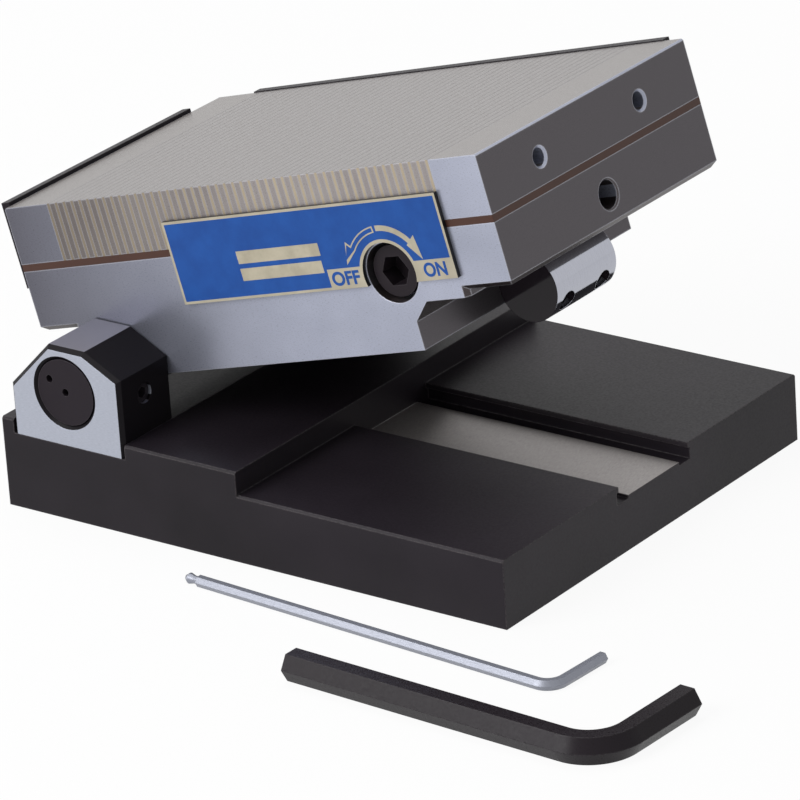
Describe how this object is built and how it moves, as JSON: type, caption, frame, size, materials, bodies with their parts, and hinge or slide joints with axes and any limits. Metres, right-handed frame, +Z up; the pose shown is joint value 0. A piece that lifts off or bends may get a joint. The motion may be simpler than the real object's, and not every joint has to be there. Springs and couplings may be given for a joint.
{
  "type": "sine magnetic chuck",
  "caption": "Tilting sine chuck: a laminated permanent magnet work face hinged on a channelled steel base, with end and back stops, a hex switch and two loose hex keys.",
  "frame": {"origin": "middle of the base plate underside", "axes": "+X along the base, away from the hinge; +Y from the switch side to the back; +Z up from the underside"},
  "size_m": [0.2691, 0.2057, 0.1274],
  "materials": {
    "base_black_steel": "black oxide with ground seats",
    "block_black_steel": "black oxide with ground front and top",
    "ground_case": "fine ground steel",
    "ground_end_block": "fine ground steel",
    "pole_steel": "ground laminations",
    "pole_brass": "ground brass",
    "separator_bronze": "dull brown bronze",
    "label_aluminium": "printed blue on bare beige",
    "stop_black_steel": "black oxide",
    "pin_steel": "hardened dark pin",
    "roller_steel": "hardened and polished",
    "screw_black": "black oxide screws",
    "screw_bright": "bright zinc screws",
    "drive_dark_steel": "dark hardened steel",
    "rail_brass": "milled brass",
    "carrier_aluminium": "milled aluminium",
    "magnet_ferrite": "sintered magnet",
    "carrier_pole_steel": "mild steel plates",
    "key_black": "black oxide hex bar",
    "key_bright": "nickel plated hex bar",
    "pad_brass": "turned brass"
  },
  "bodies": {
    "base": {"base_plate": "base_black_steel", "bearing_block_front": "block_black_steel", "bearing_block_rear": "block_black_steel", "lock_pads": "pad_brass"},
    "chuck": {"case_body": "ground_case", "separator_plate": "separator_bronze", "brass_spacers": "pole_brass", "pole_laminations": "pole_steel", "end_block_left": "ground_end_block", "end_block_right": "ground_end_block", "hinge_pin": "pin_steel", "sine_roller": "roller_steel", "nameplate": "label_aluminium", "guide_rail_front": "rail_brass", "guide_rail_rear": "rail_brass", "stop_screws": "screw_black"},
    "drive": {"drive_shaft": "drive_dark_steel"},
    "carrier": {"magnet_carrier": "carrier_aluminium", "magnets": "magnet_ferrite", "carrier_pole_plates": "carrier_pole_steel"},
    "left_stop": {"left_stop": "stop_black_steel"},
    "back_stop": {"back_stop": "stop_black_steel"},
    "lock_screw_front": {"lock_screw_front": "screw_bright"},
    "lock_screw_rear": {"lock_screw_rear": "screw_bright"},
    "magnet_key": {"magnet_key": "key_black"},
    "lock_key": {"lock_key": "key_bright"}
  },
  "joints": [
    {"name": "tilt", "type": "hinge", "parent": "base", "child": "chuck", "pos_m": [-0.0632, 0, 0.0396], "axis": [0, -1, 0], "range_deg": [-21.3, 29.6]},
    {"name": "switch", "type": "hinge", "parent": "chuck", "child": "drive", "pos_m": [0.03926, 0, 0.08755], "axis": [0, 1, 0], "range_deg": [0, 180]},
    {"name": "carrier_shift", "type": "slide", "parent": "chuck", "child": "carrier", "axis": [0.9643, 0, 0.2649], "range_m": [0, 0.00306]},
    {"name": "left_stop_lift", "type": "slide", "parent": "chuck", "child": "left_stop", "axis": [-0.2649, 0, 0.9643], "range_m": [-0.001, 0.007]},
    {"name": "back_stop_lift", "type": "slide", "parent": "chuck", "child": "back_stop", "axis": [-0.2649, 0, 0.9643], "range_m": [-0.0003, 0.007]},
    {"name": "lock_front", "type": "hinge", "parent": "base", "child": "lock_screw_front", "pos_m": [-0.05072, -0.0615, 0.0396], "axis": [1, 0, 0], "range_deg": [0, 360]},
    {"name": "lock_rear", "type": "hinge", "parent": "base", "child": "lock_screw_rear", "pos_m": [-0.05072, 0.0615, 0.0396], "axis": [1, 0, 0], "range_deg": [0, 360]},
    {"name": "magnet_key_lift", "type": "slide", "parent": "base", "child": "magnet_key", "axis": [0, 0, 1], "range_m": [0, 0.1]},
    {"name": "lock_key_lift", "type": "slide", "parent": "base", "child": "lock_key", "axis": [0, 0, 1], "range_m": [0, 0.1]}
  ],
  "couplings": [
    {"joint": "switch", "follows": "carrier_shift", "rad_per_m": 1026.6}
  ]
}
